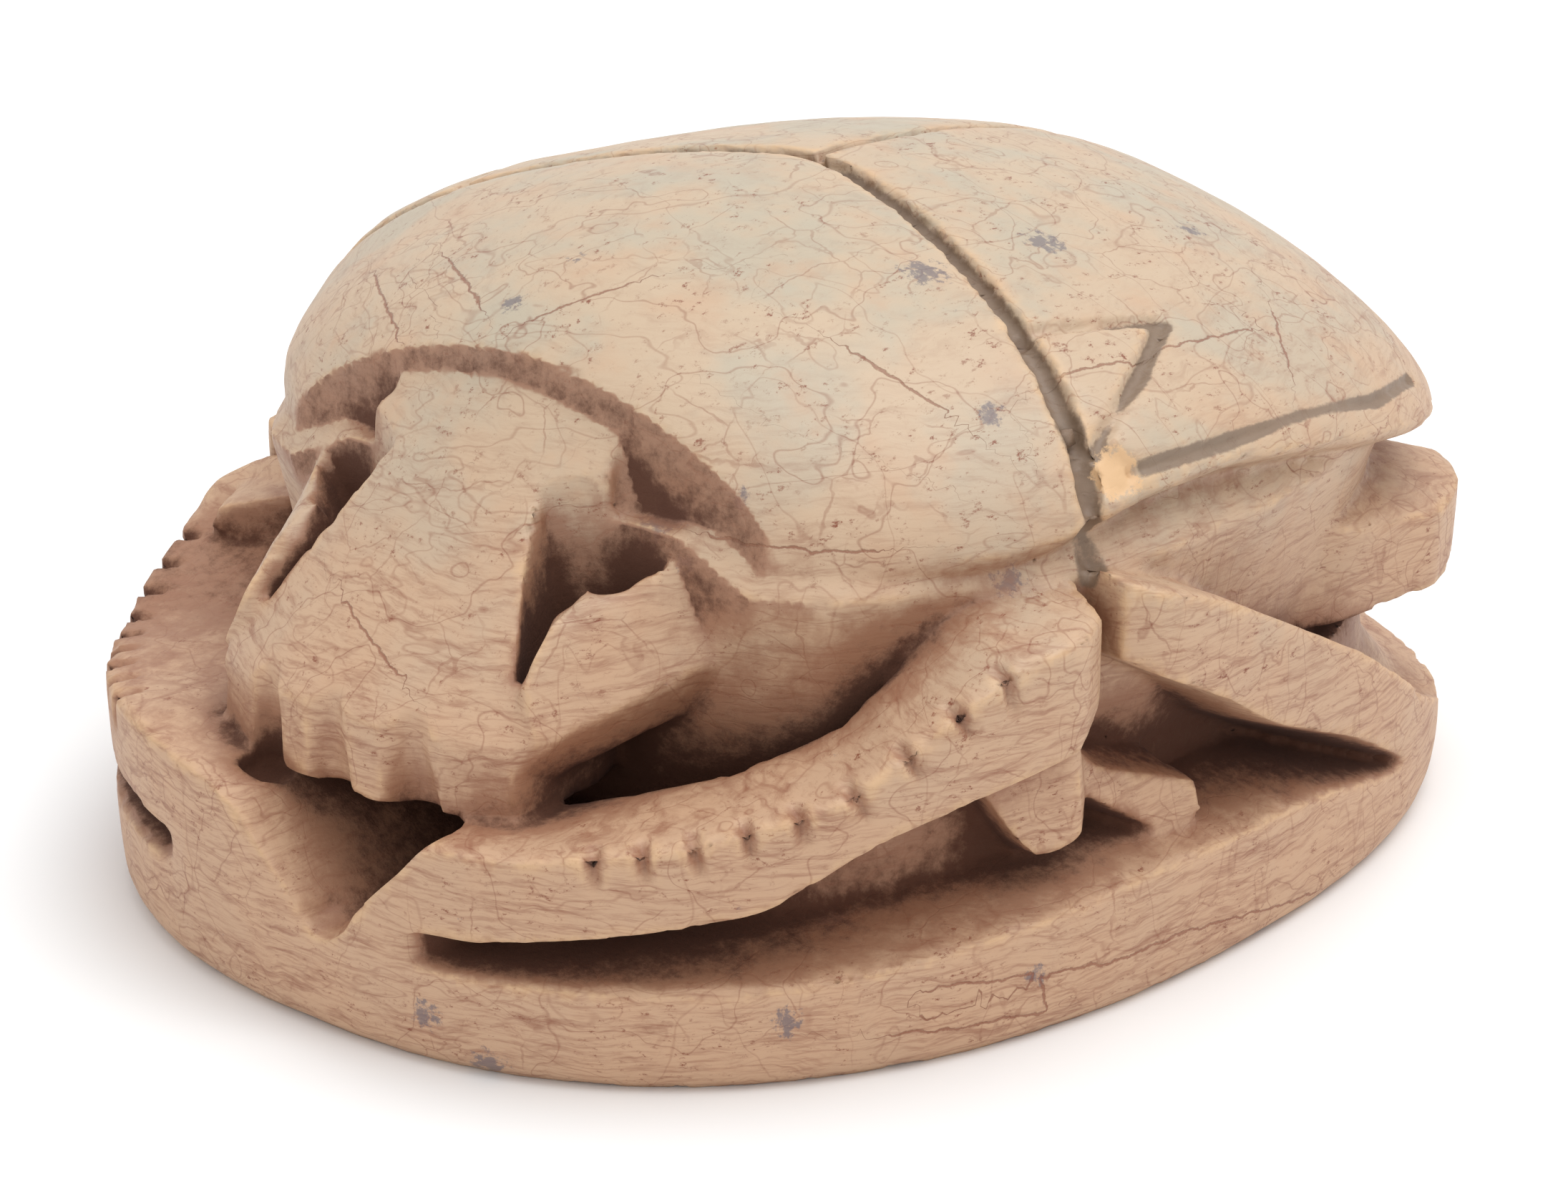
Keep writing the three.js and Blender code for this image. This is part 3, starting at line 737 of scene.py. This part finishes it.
class CarveStone(bpy.types.Operator):
    """Makes the amulet's stone with its finer carving, wear and finish"""

    bl_idname = "amulet.carve_stone"
    bl_label = "Carve Stone"
    bl_options = {"REGISTER", "UNDO"}

    def execute(self, context):
        settings = context.scene.amulet_carving
        piece = merged_copy(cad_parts["scarab"], "scarab_stone")
        for cutter in self.scoops():
            apply_modifier(piece, "BOOLEAN", operation="DIFFERENCE", solver="EXACT", object=cutter)
            bpy.data.objects.remove(cutter)
        webs = [foot_web(1, 19), foot_web(-1, 26)]
        only(piece)
        for web in webs:
            web.select_set(True)
        bpy.ops.object.join()
        apply_modifier(piece, "REMESH", mode="VOXEL", voxel_size=settings.grain * 1)
        apply_modifier(piece, "TRIANGULATE")
        mesh = piece.data
        faces = triangles_of(mesh)
        points = faired(points_of(mesh), faces, rounds=2, spread=20, crease=0.15, settle=10)
        for side in (1, -1):
            corner = np.array(CHEEK_CORNER) * (side, 1, 1)
            gap = np.linalg.norm(points / MM - corner, axis=1) / CHEEK_SOFTENING
            share = ramp(1 - gap, 0, 0.5)[:, None]
            points = points + share * (relaxed(points, edges_of(mesh), 60) - points)
        normals = point_normals(points, faces)
        lift = relief(points, normals, faces, edges_of(mesh), settings)
        points = points + normals * lift[:, None]
        points[:, 2] = np.maximum(points[:, 2], 0.0)
        move_points(mesh, points)
        share = MOST_TRIANGLES / len(faces)
        if share < 1:
            apply_modifier(piece, "DECIMATE", ratio=share)
            apply_modifier(piece, "TRIANGULATE")
        self.mark(piece.data)
        only(piece)
        bpy.ops.object.shade_smooth()
        piece.data.materials.clear()
        piece.data.materials.append(stone_material(context.scene.amulet_stone))
        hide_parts("scarab")
        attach(piece, "root")
        return {"FINISHED"}

    def scoops(self):
        """Round cutters for the notched front edge of the head."""
        for x in SCOOP_PLACES:
            bpy.ops.object.select_all(action="DESELECT")
            bpy.ops.mesh.primitive_cylinder_add(
                vertices=24,
                radius=0.95 * MM,
                depth=5 * MM,
                location=(x * MM, (-23.95 + 0.045 * x * x) * MM, 9.6 * MM),
                rotation=(math.radians(14), 0, 0),
            )
            yield bpy.context.active_object

    def mark(self, mesh):
        """Stores where the stone is hollow, edged, shaded from the sky or lined; the colour turns the shade into
        painted shade and earth.
        """
        points = points_of(mesh)
        faces = triangles_of(mesh)
        ends = edges_of(mesh)
        normals = point_normals(points, faces)
        near = np.sum((relaxed(points, ends, 10) - points) * normals, axis=1) / MM
        wide = np.sum((relaxed(points, ends, 90) - points) * normals, axis=1) / MM
        # How much of the sky the stone's own shape blocks. The colour paints this as shade and earth in the hollows.
        shade = shade_from_sky(points, normals, faces)[:, None]
        shade = relaxed(shade, ends, 3)[:, 0]
        # Painted shade, with some earth, on the face of the recess behind the head.
        brow = ramp(-normals[:, 1], 0.75, 0.95) * ramp(1.4 - np.abs(points[:, 1] / MM + 14.4), 0, 0.6)
        shade = shade + 0.3 * brow * ramp(points[:, 2] / MM, 13.0, 15.0)
        store(mesh, "hollow", ramp(wide, 0.05, 0.6))
        store(mesh, "edge", ramp(-near, 0.03, 0.14))
        store(mesh, "shade_and_earth", shade)
        tree = BVHTree.FromPolygons(points.tolist(), faces.tolist())
        filled = np.full(len(points), -1.0)
        for path, half, depth in carved_lines(tree):
            gap = off_path(points / MM, path) / half
            filled = np.maximum(filled, 1 - gap)
        store(mesh, "line", filled)
        store(mesh, "crack", side_of_cracks(points / MM, normals, tree))
        store(mesh, "chip", 1 - np.linalg.norm(points / MM - np.array(CHIP), axis=1) / CHIP_REACH)
        near_spot = np.full(len(points), -9.0)
        for place, reach in SPOTS:
            near_spot = np.maximum(near_spot, 1 - np.linalg.norm(points / MM - np.array(place), axis=1) / reach)
        store(mesh, "spot", near_spot)


# ---------------------------------------------------------------- stage


class LayStage(bpy.types.Operator):
    """Lays the floor, hangs the lights and sets the camera"""

    bl_idname = "amulet.lay_stage"
    bl_label = "Lay Stage"
    bl_options = {"REGISTER", "UNDO"}

    def execute(self, context):
        look = context.scene.amulet_stage
        bpy.ops.object.select_all(action="DESELECT")
        bpy.ops.mesh.primitive_circle_add(vertices=96, radius=3.0, fill_type="NGON", location=(0, 0, 0))
        floor = context.active_object
        floor.name = "floor"
        shader = Shader("pale_floor")
        surface = shader.node(
            "ShaderNodeBsdfPrincipled", None, {"Base Color": (*look.floor, 1.0), "Roughness": 0.8}
        )
        shader.node("ShaderNodeOutputMaterial", None, {"Surface": surface})
        floor.data.materials.append(shader.material)
        self.light(look)
        self.camera(context)
        context.scene.view_settings.view_transform = "Standard"
        return {"FINISHED"}

    def light(self, look):
        """An even sky and one large soft lamp."""
        world = bpy.data.worlds.new("tent")
        world.use_nodes = True
        background = world.node_tree.nodes["Background"]
        background.inputs["Color"].default_value = (1.0, 1.0, 1.0, 1.0)
        background.inputs["Strength"].default_value = look.sky
        bpy.context.scene.world = world
        lamp = bpy.data.lights.new("key", "AREA")
        lamp.shape = "DISK"
        lamp.size = 0.45
        lamp.energy = look.key
        key = bpy.data.objects.new("key", lamp)
        key.location = (0.1, 0.08, 0.46)
        key.rotation_euler = (-key.location).to_track_quat("-Z", "Y").to_euler()
        bpy.context.scene.collection.objects.link(key)

    def camera(self, context):
        """Looks down on the head and the left flank."""
        azimuth = math.radians(CAMERA_AZIMUTH)
        elevation = math.radians(CAMERA_ELEVATION)
        right = Vector((math.cos(azimuth), math.sin(azimuth), 0))
        back = Vector(
            (
                math.sin(azimuth) * math.cos(elevation),
                -math.cos(azimuth) * math.cos(elevation),
                math.sin(elevation),
            )
        )
        lens = bpy.data.cameras.new("camera")
        lens.sensor_width = 36.0
        lens.lens = CAMERA_LENS
        lens.clip_start = 0.01
        lens.clip_end = 20.0
        camera = bpy.data.objects.new("camera", lens)
        place = Vector(CAMERA_TARGET) + back * CAMERA_DISTANCE + right * CAMERA_SIDESTEP
        place += back.cross(right) * CAMERA_RISE
        camera.location = place * MM
        camera.rotation_euler = (-back).to_track_quat("-Z", "Y").to_euler()
        context.scene.collection.objects.link(camera)
        context.scene.camera = camera


class AmuletPanel(bpy.types.Panel):
    """Lists the amulet's settings and steps"""

    bl_idname = "VIEW3D_PT_amulet"
    bl_label = "Scarab Amulet"
    bl_space_type = "VIEW_3D"
    bl_region_type = "UI"
    bl_category = "Amulet"

    def draw(self, context):
        for group in (context.scene.amulet_carving, context.scene.amulet_stone, context.scene.amulet_stage):
            box = self.layout.box()
            for name in group.__annotations__:
                box.prop(group, name)
        for step in STEPS:
            self.layout.operator(step.bl_idname)


GROUPS = {
    "amulet_carving": CarvingSettings,
    "amulet_stone": StoneSettings,
    "amulet_stage": StageSettings,
}
STEPS = (CarveStone, LayStage)


def register():
    for name, group in GROUPS.items():
        bpy.utils.register_class(group)
        setattr(bpy.types.Scene, name, bpy.props.PointerProperty(type=group))
    for kind in (*STEPS, AmuletPanel):
        bpy.utils.register_class(kind)


def unregister():
    for kind in reversed((*STEPS, AmuletPanel)):
        bpy.utils.unregister_class(kind)
    for name, group in reversed(GROUPS.items()):
        delattr(bpy.types.Scene, name)
        bpy.utils.unregister_class(group)


def main():
    register()
    bpy.ops.amulet.carve_stone()
    bpy.ops.amulet.lay_stage()


if __name__ == "__main__":
    main()
